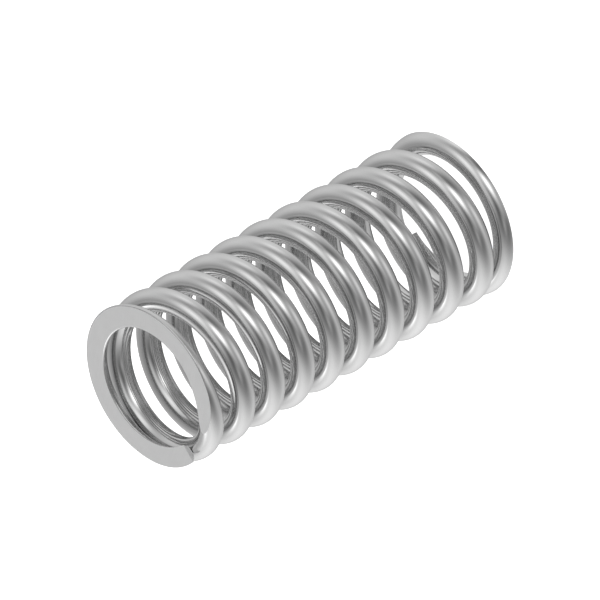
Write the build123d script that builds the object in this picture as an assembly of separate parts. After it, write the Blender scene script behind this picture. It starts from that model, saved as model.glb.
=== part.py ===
from build123d import *
import math
import os

# A compression spring of round wire, wound right hand, with closed and ground ends.
# It stands on its lower ground face. The origin is the centre of that face and +Z is the
# axis of the coil. All lengths are in millimetres and all angles in degrees.

# The wire and the coil
wire_diameter = 2.0
mean_diameter = 12.5
free_length = 34.4
total_coils = 11.25

# Each end coil, measured round the coil from the tip of the wire
tip_thickness = 0.4  # what grinding leaves of the wire at its tip
tip_clearance = 0.05  # gap between the tip and the coil that it closes on
seat_start = 90.0  # from here the ground face is as wide as the wire
seat_end = 255.0  # here the wire starts to leave the ground face
rim_chamfer = 0.1  # deburring of the inner and outer rims of the ground face

# The lower tip faces +Y. With a quarter coil over, the upper one then faces -X.
lower_tip_azimuth = 90.0

turn = 360.0
section_step = 15.0  # angle between the wire sections that an end coil is lofted through

wire_radius = wire_diameter / 2
mean_radius = mean_diameter / 2
outer_radius = mean_radius + wire_radius
inner_radius = mean_radius - wire_radius

# Heights of the middle of the wire over the ground face: at the tip, and one turn on,
# where the wire passes the tip and the active coils begin.
tip_height = tip_thickness - wire_radius
closing_height = tip_height + wire_diameter + tip_clearance

# One closed coil at each end carries no load. The rest is an even helix.
active_coils = total_coils - 2
active_length = free_length - 2 * closing_height
pitch = active_length / active_coils


def eased(angle, start, end):
    """Height and rise per turn on the cubic between two (angle, height, rise per turn)."""
    span = (end[0] - start[0]) / turn
    x = (angle - start[0]) / turn / span
    low, high = start[1], end[1]
    start_rise, end_rise = start[2] * span, end[2] * span
    height = (
        low * (2 * x**3 - 3 * x**2 + 1)
        + start_rise * (x**3 - 2 * x**2 + x)
        + high * (3 * x**2 - 2 * x**3)
        + end_rise * (x**3 - x**2)
    )
    rise = (
        (high - low) * 6 * (x - x**2)
        + start_rise * (3 * x**2 - 4 * x + 1)
        + end_rise * (3 * x**2 - 2 * x)
    )
    return height, rise / span


def end_coil_line(angle):
    """Height and rise per turn of the wire in an end coil, by the angle from its tip."""
    tip = (0.0, tip_height, pitch)
    seat_from = (seat_start, 0.0, 0.0)
    seat_to = (seat_end, 0.0, 0.0)
    first_active = (turn, closing_height, pitch)
    if angle < seat_start:
        return eased(angle, tip, seat_from)
    if angle < seat_end:
        return 0.0, 0.0
    return eased(angle, seat_to, first_active)


def wire_section(angle, height, rise):
    """A full wire section, square to the wire, at an angle round the coil."""
    outward = Vector(1, 0, 0).rotate(Axis.Z, angle)
    forward = Vector(0, math.pi * mean_diameter, rise).rotate(Axis.Z, angle)
    centre = outward * mean_radius + Vector(0, 0, height)
    return Plane(origin=centre, x_dir=outward, z_dir=forward) * Circle(wire_radius)


def grinding_envelope():
    """The space that grinding and deburring leave to an end coil."""
    reach = wire_diameter  # how far it extends past the wire, inside, outside and above
    top = closing_height + wire_radius + reach
    outline = Polyline(
        (inner_radius + rim_chamfer, 0),
        (outer_radius - rim_chamfer, 0),
        (outer_radius + reach, rim_chamfer + reach),
        (outer_radius + reach, top),
        (inner_radius - reach, top),
        (inner_radius - reach, rim_chamfer + reach),
        close=True,
    )
    return revolve(Plane.XZ * make_face(outline), Axis.Z)


def end_coil():
    """The lower end coil, from its ground tip to where the active coils begin."""
    steps = round(turn / section_step)
    angles = [turn * step / steps for step in range(steps + 1)]
    closed_coil = loft([wire_section(angle, *end_coil_line(angle)) for angle in angles])
    return closed_coil & grinding_envelope()


def active_helix():
    """The active coils, an exact helix between the two end coils."""
    line = Pos(Z=closing_height) * Helix(pitch, active_length, mean_radius)
    return sweep(wire_section(0, closing_height, pitch), path=line, is_frenet=True)


def spring():
    """The whole spring, whose upper end coil is the lower one turned over."""
    lower_end = end_coil()
    upper_end = Pos(Z=free_length) * Rot(Z=total_coils * turn) * Rot(X=180) * lower_end
    return Rot(Z=lower_tip_azimuth) * (lower_end + active_helix() + upper_end)


coil_spring = spring()
coil_spring.label = "coil_spring"

os.makedirs("parts", exist_ok=True)
export_step(coil_spring, "parts/coil_spring.step")

print("pitch", round(pitch, 3), "gap between active coils", round(pitch - wire_diameter, 3))
print("solids", len(coil_spring.solids()), "volume", round(coil_spring.volume, 1))
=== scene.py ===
import math

import bpy
from mathutils import Matrix, Vector


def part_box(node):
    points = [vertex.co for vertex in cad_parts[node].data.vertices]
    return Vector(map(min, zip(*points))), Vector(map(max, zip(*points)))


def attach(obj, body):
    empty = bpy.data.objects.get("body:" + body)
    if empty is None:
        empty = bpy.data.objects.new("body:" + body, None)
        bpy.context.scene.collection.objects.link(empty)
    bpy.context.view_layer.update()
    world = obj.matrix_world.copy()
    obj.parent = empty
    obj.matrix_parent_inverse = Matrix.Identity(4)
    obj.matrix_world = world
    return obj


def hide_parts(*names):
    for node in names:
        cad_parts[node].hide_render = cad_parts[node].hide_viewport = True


millimetre = 0.001
fullTurn = 2 * math.pi

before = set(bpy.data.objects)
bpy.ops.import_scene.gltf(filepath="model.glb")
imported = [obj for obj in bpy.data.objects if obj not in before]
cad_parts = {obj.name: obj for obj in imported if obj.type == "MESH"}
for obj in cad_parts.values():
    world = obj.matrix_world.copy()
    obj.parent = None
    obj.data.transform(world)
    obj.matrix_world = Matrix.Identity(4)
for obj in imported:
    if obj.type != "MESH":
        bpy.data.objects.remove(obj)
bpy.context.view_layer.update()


def chooseOnly(piece):
    bpy.ops.object.select_all(action="DESELECT")
    piece.select_set(True)
    bpy.context.view_layer.objects.active = piece


def faceOutwards(piece):
    chooseOnly(piece)
    bpy.ops.object.mode_set(mode="EDIT")
    bpy.ops.mesh.select_all(action="SELECT")
    bpy.ops.mesh.normals_make_consistent(inside=False)
    bpy.ops.object.mode_set(mode="OBJECT")


spring = {
    "node": "coil_spring",
    "wire": 2.0 * millimetre,
    "coils": 11.25,
    "tipThickness": 0.4 * millimetre,   # what grinding leaves of the wire at each tip
    "tipGap": 0.05 * millimetre,        # between a tip and the coil that it closes on
    "seatStart": 0.25,                  # turns from the tip to where the seat is full width
    "seatEnd": 255 / 360,               # turns from the tip to where the wire leaves the seat
    "lowerTip": math.radians(90),       # where the lower tip points, seen from above
    "rimRound": 0.1 * millimetre,       # deburring of the ground rims
    "rimSteep": math.radians(60),       # past this angle the rounding runs on straight
    "turnParts": 4,                     # wound by quarter turns, as a quarter coil is over
    "stepsPerTurn": 128,
    "wireSides": 48,
    "rimSteps": 4,
    "seatSides": 180,
    "smoothBelow": math.radians(30),    # sharper edges than this stay crisp
    "flat": 0.995,                      # how straight a ground or cut face looks out
    "nearSeat": 0.001 * millimetre,     # how near its plane the points of a seat lie
}

# the box of the CAD node gives the length and the outside of the coil
nodeLow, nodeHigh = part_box(spring["node"])
springLength = nodeHigh.z - nodeLow.z
wireRadius = spring["wire"] / 2
meanRadius = (nodeHigh.x - nodeLow.x) / 2 - wireRadius
wirePerTurn = fullTurn * meanRadius

# heights of the middle of the wire over the seat: at the tip, and one turn on
tipHeight = spring["tipThickness"] - wireRadius
closingHeight = tipHeight + spring["wire"] + spring["tipGap"]
activeCoils = spring["coils"] - 2       # the closed coil at each end carries no load
pitch = (springLength - 2 * closingHeight) / activeCoils


def easeBetween(turns, start, end):
    # height and rise per turn on the cubic between two (turns, height, rise per turn)
    span = end[0] - start[0]
    x = (turns - start[0]) / span
    low, high = start[1], end[1]
    riseIn, riseOut = start[2] * span, end[2] * span
    height = (low * (2 * x**3 - 3 * x**2 + 1) + riseIn * (x**3 - 2 * x**2 + x)
              + high * (3 * x**2 - 2 * x**3) + riseOut * (x**3 - x**2))
    rise = ((high - low) * 6 * (x - x**2) + riseIn * (3 * x**2 - 4 * x + 1)
            + riseOut * (3 * x**2 - 2 * x))
    return height, rise / span


def wireLine(turns):
    # height and rise per turn of the middle of the wire, counted from the lower tip
    if turns > spring["coils"] / 2:     # the upper half is the lower one turned over
        height, rise = wireLine(spring["coils"] - turns)
        return springLength - height, rise
    if turns < spring["seatStart"]:
        return easeBetween(turns, (0, tipHeight, pitch), (spring["seatStart"], 0, 0))
    if turns < spring["seatEnd"]:
        return 0.0, 0.0
    if turns < 1:
        return easeBetween(turns, (spring["seatEnd"], 0, 0), (1, closingHeight, pitch))
    return closingHeight + (turns - 1) * pitch, pitch


def windWire():
    # an even helix of round wire, open at both ends
    bpy.ops.object.select_all(action="DESELECT")
    bpy.ops.mesh.primitive_circle_add(vertices=spring["wireSides"], radius=wireRadius,
                                      location=(meanRadius, 0, 0),
                                      rotation=(math.radians(90), 0, 0))
    bpy.ops.object.transform_apply(location=True, rotation=True, scale=True)
    piece = bpy.context.active_object
    piece.name = "springWire"
    screw = piece.modifiers.new("wind", "SCREW")
    screw.axis = "Z"
    screw.angle = fullTurn / spring["turnParts"]
    screw.iterations = round(spring["coils"] * spring["turnParts"])
    screw.screw_offset = pitch / spring["turnParts"]
    screw.steps = screw.render_steps = spring["stepsPerTurn"] // spring["turnParts"]
    screw.use_normal_calculate = True
    bpy.ops.object.modifier_apply(modifier=screw.name)
    return piece


def closeCoils(piece):
    # the even helix is drawn onto the real line of the wire, each section square to it
    for index, vertex in enumerate(piece.data.vertices):
        ring, side = divmod(index, spring["wireSides"])
        turns = ring / spring["stepsPerTurn"]
        around = fullTurn * (side + 0.5) / spring["wireSides"]
        height, rise = wireLine(turns)
        heading = spring["lowerTip"] + fullTurn * turns
        outward = Vector((math.cos(heading), math.sin(heading), 0))
        forward = Vector((-math.sin(heading), math.cos(heading), rise / wirePerTurn)).normalized()
        upward = outward.cross(forward)
        middle = outward * meanRadius + Vector((0, 0, nodeLow.z + height))
        across, along = math.cos(around), math.sin(around)
        vertex.co = middle + (outward * across + upward * along) * wireRadius


def closeTip(piece, turns):
    # a flat face over the open end of the wire
    ring = round(turns * spring["stepsPerTurn"])
    first = ring * spring["wireSides"]
    for vertex in piece.data.vertices:
        vertex.select = first <= vertex.index < first + spring["wireSides"]
    chooseOnly(piece)
    bpy.ops.object.mode_set(mode="EDIT")
    bpy.ops.mesh.edge_face_add()
    bpy.ops.object.mode_set(mode="OBJECT")


print("spring: pitch", round(pitch / millimetre, 3), "mm")
wire = windWire()
print("wound:", len(wire.data.vertices), "points")
closeCoils(wire)
closeTip(wire, 0)
closeTip(wire, spring["coils"])
faceOutwards(wire)
print("coils and tips closed")


def grindingOutline():
    # radius and height round one side of the space that grinding leaves to the wire
    rim = spring["rimRound"]
    reach = spring["wire"]              # how far the space runs on past the wire
    inner, outer = meanRadius - wireRadius, meanRadius + wireRadius
    corner = []                         # how far in from the side and up from the face
    for step in range(spring["rimSteps"] + 1):
        bend = spring["rimSteep"] * step / spring["rimSteps"]
        corner.append((rim - rim * math.sin(bend), rim - rim * math.cos(bend)))
    lastIn, lastUp = corner[-1]
    corner.append((lastIn - reach, lastUp + reach * math.tan(spring["rimSteep"])))
    outline = [(outer - inwards, upwards) for inwards, upwards in corner]
    outline += [(radius, springLength - upwards) for radius, upwards in reversed(outline)]
    outline += [(inner + outer - radius, upwards) for radius, upwards in reversed(outline)]
    return outline


def grindingSpace():
    # the outline turned into a ring, flat at both ends, with rounded rims
    outline = grindingOutline()
    radius, upwards = outline[0]
    bpy.ops.object.select_all(action="DESELECT")
    bpy.ops.mesh.primitive_circle_add(vertices=spring["seatSides"], radius=radius,
                                      location=(0, 0, nodeLow.z + upwards))
    bpy.ops.object.transform_apply(location=True)
    bpy.ops.object.mode_set(mode="EDIT")
    bpy.ops.mesh.select_all(action="SELECT")
    for nextRadius, nextUpwards in outline[1:]:
        bpy.ops.mesh.extrude_region_move()
        growth = nextRadius / radius
        bpy.ops.transform.resize(value=(growth, growth, 1))
        bpy.ops.transform.translate(value=(0, 0, nextUpwards - upwards))
        radius, upwards = nextRadius, nextUpwards
    bpy.ops.object.mode_set(mode="OBJECT")
    space = bpy.context.active_object
    for vertex in space.data.vertices:  # the first and the last loop are bridged
        atFirst = vertex.index < spring["seatSides"]
        atLast = vertex.index >= len(space.data.vertices) - spring["seatSides"]
        vertex.select = atFirst or atLast
    bpy.ops.object.mode_set(mode="EDIT")
    bpy.ops.mesh.bridge_edge_loops()
    bpy.ops.object.mode_set(mode="OBJECT")
    faceOutwards(space)
    return space


def grindEnds(piece):
    space = grindingSpace()
    chooseOnly(piece)
    grinding = piece.modifiers.new("grind", "BOOLEAN")
    grinding.operation = "INTERSECT"
    grinding.solver = "EXACT"
    grinding.object = space
    bpy.ops.object.modifier_apply(modifier=grinding.name)
    bpy.data.objects.remove(space)


grindEnds(wire)
print("ground:", len(wire.data.polygons), "faces")


def turnsAt(point):
    # how many turns from the lower tip the wire has made where it passes a point
    heading = math.atan2(point.y, point.x) - spring["lowerTip"]
    slack = 0.5 / spring["stepsPerTurn"]    # so that the cut ends count as on the wire
    turns = (heading / fullTurn + slack) % 1 - slack
    nearest, away = turns, springLength
    while turns <= spring["coils"] + slack:
        offLine = abs(point.z - nodeLow.z - wireLine(turns)[0])
        if offLine < away:
            nearest, away = turns, offLine
        turns += 1
    return nearest


def markWire(piece):
    # where each point lay on the straight wire before it was coiled, for the drawing marks
    straight = piece.data.attributes.new("straightWire", "FLOAT_VECTOR", "POINT")
    for vertex, place in zip(piece.data.vertices, straight.data):
        turns = turnsAt(vertex.co)
        across = vertex.co.xy.length - meanRadius
        upwards = vertex.co.z - nodeLow.z - wireLine(turns)[0]
        place.vector = (turns * wirePerTurn, across, upwards)


markWire(wire)
print("marked along", round(spring["coils"] * wirePerTurn / millimetre), "mm of wire")


class SteelNodes:
    # short ways to add and join the nodes of one steel
    noiseRange = (0.3, 0.7)             # where nearly all of a noise lies
    noiseDetail = 3

    def __init__(self, name):
        self.material = bpy.data.materials.new(name)
        self.material.use_nodes = True
        self.tree = self.material.node_tree
        self.shader = self.tree.nodes["Principled BSDF"]
        self.shader.inputs["Metallic"].default_value = 1

    def join(self, value, socket):
        if isinstance(value, bpy.types.NodeSocket):
            self.tree.links.new(value, socket)
        else:
            socket.default_value = value

    def maths(self, operation, *values):
        node = self.tree.nodes.new("ShaderNodeMath")
        node.operation = operation
        for value, socket in zip(values, node.inputs):
            self.join(value, socket)
        return node.outputs["Value"]

    def vector(self, operation, *values):
        node = self.tree.nodes.new("ShaderNodeVectorMath")
        node.operation = operation
        for value, socket in zip(values, node.inputs):
            self.join(value, socket)
        isNumber = operation in ("LENGTH", "DOT_PRODUCT")
        return node.outputs["Value" if isNumber else "Vector"]

    def noise(self, place, size):
        node = self.tree.nodes.new("ShaderNodeTexNoise")
        self.join(self.vector("DIVIDE", place, size), node.inputs["Vector"])
        node.inputs["Scale"].default_value = 1
        node.inputs["Detail"].default_value = self.noiseDetail
        return node.outputs["Fac"]

    def blend(self, lines, drift, lineShare):
        restOfIt = self.maths("MULTIPLY", drift, 1 - lineShare)
        return self.maths("MULTIPLY_ADD", lines, lineShare, restOfIt)

    def spread(self, value, low, high):
        node = self.tree.nodes.new("ShaderNodeMapRange")
        for number, socket in zip((value, *self.noiseRange, low, high), node.inputs):
            self.join(number, socket)
        return node.outputs["Result"]

    def tint(self, value, colour, drift):
        node = self.tree.nodes.new("ShaderNodeMix")
        node.data_type = "RGBA"
        self.join(self.spread(value, 0, 1), node.inputs[0])
        darker, lighter = [socket for socket in node.inputs if socket.type == "RGBA"]
        darker.default_value = [part * (1 - drift) for part in colour] + [1]
        lighter.default_value = [part * (1 + drift) for part in colour] + [1]
        mixed = [socket for socket in node.outputs if socket.type == "RGBA"]
        self.join(mixed[0], self.shader.inputs["Base Color"])

    def polish(self, value, roughness):
        self.join(self.spread(value, *roughness), self.shader.inputs["Roughness"])

    def engrave(self, height, depth):
        node = self.tree.nodes.new("ShaderNodeBump")
        node.inputs["Distance"].default_value = depth
        self.join(height, node.inputs["Height"])
        self.join(node.outputs["Normal"], self.shader.inputs["Normal"])


drawnSteel = {
    "colour": (0.63, 0.63, 0.63),
    "colourDrift": 0.035,               # share by which the colour wanders along the wire
    "driftLength": 7 * millimetre,
    "driftWidth": 2.5 * millimetre,
    "roughness": (0.1, 0.17),
    "lineWidth": 0.035 * millimetre,    # of the lines that the die leaves along the wire
    "lineLength": 5 * millimetre,
    "lineDepth": 0.0012 * millimetre,
    "lineShare": 0.5,                   # of the lines in the gloss, the drift has the rest
}


def makeDrawnSteel(look):
    steel = SteelNodes("drawnSteel")
    straight = steel.tree.nodes.new("ShaderNodeAttribute")
    straight.attribute_name = "straightWire"
    place = straight.outputs["Vector"]
    lines = steel.noise(place, (look["lineLength"], look["lineWidth"], look["lineWidth"]))
    drift = steel.noise(place, (look["driftLength"], look["driftWidth"], look["driftWidth"]))
    steel.tint(drift, look["colour"], look["colourDrift"])
    steel.polish(steel.blend(lines, drift, look["lineShare"]), look["roughness"])
    steel.engrave(lines, look["lineDepth"])
    return steel.material


groundSteel = {
    "colour": (0.8, 0.8, 0.8),
    "colourDrift": 0.05,
    "driftSize": 1.5 * millimetre,
    "roughness": (0.48, 0.62),
    "wheelCentre": Vector((45, 30, 0)) * millimetre,    # the wheel leaves arcs about this
    "lineWidth": 0.04 * millimetre,
    "lineLength": 3 * millimetre,
    "lineDepth": 0.004 * millimetre,
    "lineShare": 0.6,                   # of the arcs in colour and gloss
}


def makeGroundSteel(look):
    steel = SteelNodes("groundSteel")
    place = steel.tree.nodes.new("ShaderNodeTexCoord").outputs["Object"]
    level = steel.vector("MULTIPLY", place, (1, 1, 0))
    fromWheel = steel.vector("SUBTRACT", level, look["wheelCentre"])
    sideways = Vector((-look["wheelCentre"].y, look["wheelCentre"].x, 0)).normalized()
    arcs = steel.tree.nodes.new("ShaderNodeCombineXYZ")
    steel.join(steel.vector("LENGTH", fromWheel), arcs.inputs["X"])
    steel.join(steel.vector("DOT_PRODUCT", fromWheel, sideways), arcs.inputs["Y"])
    lines = steel.noise(arcs.outputs["Vector"], (look["lineWidth"], look["lineLength"], 1))
    drift = steel.noise(place, (look["driftSize"],) * 3)
    shade = steel.blend(lines, drift, look["lineShare"])
    steel.tint(shade, look["colour"], look["colourDrift"])
    steel.polish(shade, look["roughness"])
    steel.engrave(lines, look["lineDepth"])
    return steel.material


def dressWire(piece):
    # drawn steel all over, and ground steel on the seats and on the cut faces of the tips
    piece.data.materials.clear()
    piece.data.materials.append(makeDrawnSteel(drawnSteel))
    piece.data.materials.append(makeGroundSteel(groundSteel))
    for face in piece.data.polygons:
        heights = [piece.data.vertices[index].co.z for index in face.vertices]
        offSeat = min(max(heights) - nodeLow.z, nodeHigh.z - min(heights))
        onSeat = abs(face.normal.z) > spring["flat"] and offSeat < spring["nearSeat"]
        forward = Vector((-face.center.y, face.center.x, 0)).normalized()
        onTip = abs(face.normal.dot(forward)) > spring["flat"]
        face.material_index = 1 if onSeat or onTip else 0


def shadeWire(piece):
    # smooth all over, but for a crisp border round each ground face
    chooseOnly(piece)
    bpy.ops.object.shade_smooth_by_angle(angle=spring["smoothBelow"])
    piece.active_material_index = 1
    bpy.ops.object.mode_set(mode="EDIT")
    bpy.ops.mesh.select_all(action="DESELECT")
    bpy.ops.object.material_slot_select()
    bpy.ops.mesh.region_to_loop()
    bpy.ops.mesh.mark_sharp()
    bpy.ops.object.mode_set(mode="OBJECT")


dressWire(wire)
shadeWire(wire)
print("dressed in", len(wire.data.materials), "steels")

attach(wire, "root")
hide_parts(spring["node"])


view = {
    "elevation": math.radians(35.264),  # of the camera over the seat planes
    "roll": math.radians(120),          # lays the axis of the coil down to the lower left
    "width": 0.048473,                  # metres across the picture
    "distance": 0.3,                    # metres from the middle of the spring
}

# the directions from the spring to the camera, and to the right and the top of its picture
towards = Vector((0, -math.cos(view["elevation"]), math.sin(view["elevation"])))
levelRight = Vector((1, 0, 0))
levelUp = towards.cross(levelRight)
right = levelRight * math.cos(view["roll"]) - levelUp * math.sin(view["roll"])
up = levelRight * math.sin(view["roll"]) + levelUp * math.cos(view["roll"])


def placeCamera():
    cameraData = bpy.data.cameras.new("camera")
    cameraData.type = "ORTHO"
    cameraData.ortho_scale = view["width"]
    camera = bpy.data.objects.new("camera", cameraData)
    bpy.context.scene.collection.objects.link(camera)
    springMiddle = (nodeLow + nodeHigh) / 2
    turned = Matrix((right, up, towards)).transposed().to_4x4()
    camera.matrix_world = Matrix.Translation(springMiddle + towards * view["distance"]) @ turned
    bpy.context.scene.camera = camera


# each light: name, degrees to the right of the camera and up from it, degrees from its
# middle to where it is half as bright, and strength
studio = {
    "colour": (0.8, 0.8, 0.8),
    "background": (1, 1, 1),
    "lights": [
        ("key", 12, 16.5, 14.5, 2.6),
        ("keySide", 41, 28, 12, 0.38),
        ("leftPanel", -38, 15, 21, 1.42),
        ("leftPanelFoot", -28, -19, 15, 0.61),
        ("middleStrip", -5, 49, 9, 0.42),
        ("lowStrip", 35, -6, 17, 0.58),
        ("lowStripFoot", 27, -35, 10, 0.36),
        ("rightPanel", 73, 16, 18, 1.0),
        ("rightLow", 98, -8, 21, 0.45),
        ("leftWall", -104, 31, 36, 0.86),
        ("backWall", 161, 58, 38, 0.88),
        ("overhead", -44, 84, 16, 0.7),
        ("ground", 173, -53, 44, 1.37),
        ("groundRight", 133, -17, 14, 0.27),
        ("groundFront", -65, -80, 27, 0.46),
        ("groundLeft", -107, -47, 9, 2.4),
    ],
}


def lightDirection(rightwards, upwards):
    rightwards, upwards = math.radians(rightwards), math.radians(upwards)
    level = towards * math.cos(rightwards) + right * math.sin(rightwards)
    return level * math.cos(upwards) + up * math.sin(upwards)


def addLight(tree, direction, light, lightSoFar):
    # a soft round glow on the world, added to the light so far
    name, rightwards, upwards, halfWidth, strength = light
    facing = tree.nodes.new("ShaderNodeVectorMath")
    facing.operation = "DOT_PRODUCT"
    facing.inputs[1].default_value = lightDirection(rightwards, upwards)
    tree.links.new(direction, facing.inputs[0])
    sharpness = math.log(2) / (1 - math.cos(math.radians(halfWidth)))
    falloff = tree.nodes.new("ShaderNodeMath")
    falloff.operation = "MULTIPLY_ADD"
    falloff.inputs[1].default_value = sharpness
    falloff.inputs[2].default_value = -sharpness
    tree.links.new(facing.outputs["Value"], falloff.inputs[0])
    glow = tree.nodes.new("ShaderNodeMath")
    glow.operation = "EXPONENT"
    tree.links.new(falloff.outputs["Value"], glow.inputs[0])
    added = tree.nodes.new("ShaderNodeMath")
    added.operation = "MULTIPLY_ADD"
    added.label = name
    added.inputs[1].default_value = strength
    added.inputs[2].default_value = 0
    tree.links.new(glow.outputs["Value"], added.inputs[0])
    if lightSoFar:
        tree.links.new(lightSoFar, added.inputs[2])
    return added.outputs["Value"]


def studioWorld():
    # the spring mirrors the lights, and the camera sees a plain background
    world = bpy.data.worlds.new("studio")
    bpy.context.scene.world = world
    world.use_nodes = True
    tree = world.node_tree
    tree.nodes.clear()
    direction = tree.nodes.new("ShaderNodeTexCoord").outputs["Generated"]
    allLight = None
    for light in studio["lights"]:
        allLight = addLight(tree, direction, light, allLight)
    lit = tree.nodes.new("ShaderNodeBackground")
    lit.inputs["Color"].default_value = (*studio["colour"], 1)
    tree.links.new(allLight, lit.inputs["Strength"])
    plain = tree.nodes.new("ShaderNodeBackground")
    plain.inputs["Color"].default_value = (*studio["background"], 1)
    ray = tree.nodes.new("ShaderNodeLightPath")
    choose = tree.nodes.new("ShaderNodeMixShader")
    tree.links.new(ray.outputs["Is Camera Ray"], choose.inputs[0])
    tree.links.new(lit.outputs[0], choose.inputs[1])
    tree.links.new(plain.outputs[0], choose.inputs[2])
    output = tree.nodes.new("ShaderNodeOutputWorld")
    tree.links.new(choose.outputs[0], output.inputs["Surface"])


floorLook = {
    "size": 2,                          # metres across
    "colour": (0.9, 0.9, 0.9),
    "glow": 1,                          # lifts it to the white of the background
}


def paleFloor():
    bpy.ops.object.select_all(action="DESELECT")
    bpy.ops.mesh.primitive_plane_add(size=floorLook["size"], location=(0, 0, nodeLow.z))
    floor = bpy.context.active_object
    floor.name = "paleFloor"
    material = bpy.data.materials.new("paleFloor")
    material.use_nodes = True
    shader = material.node_tree.nodes["Principled BSDF"]
    shader.inputs["Base Color"].default_value = (*floorLook["colour"], 1)
    shader.inputs["Emission Color"].default_value = (1, 1, 1, 1)
    shader.inputs["Emission Strength"].default_value = floorLook["glow"]
    floor.data.materials.append(material)
    floor.visible_glossy = False        # it hides none of the lights from the spring
    floor.visible_shadow = False


placeCamera()
studioWorld()
paleFloor()
bpy.context.scene.view_settings.view_transform = "Standard"
bpy.context.scene.view_settings.look = "None"
print("camera, lights and floor ready")
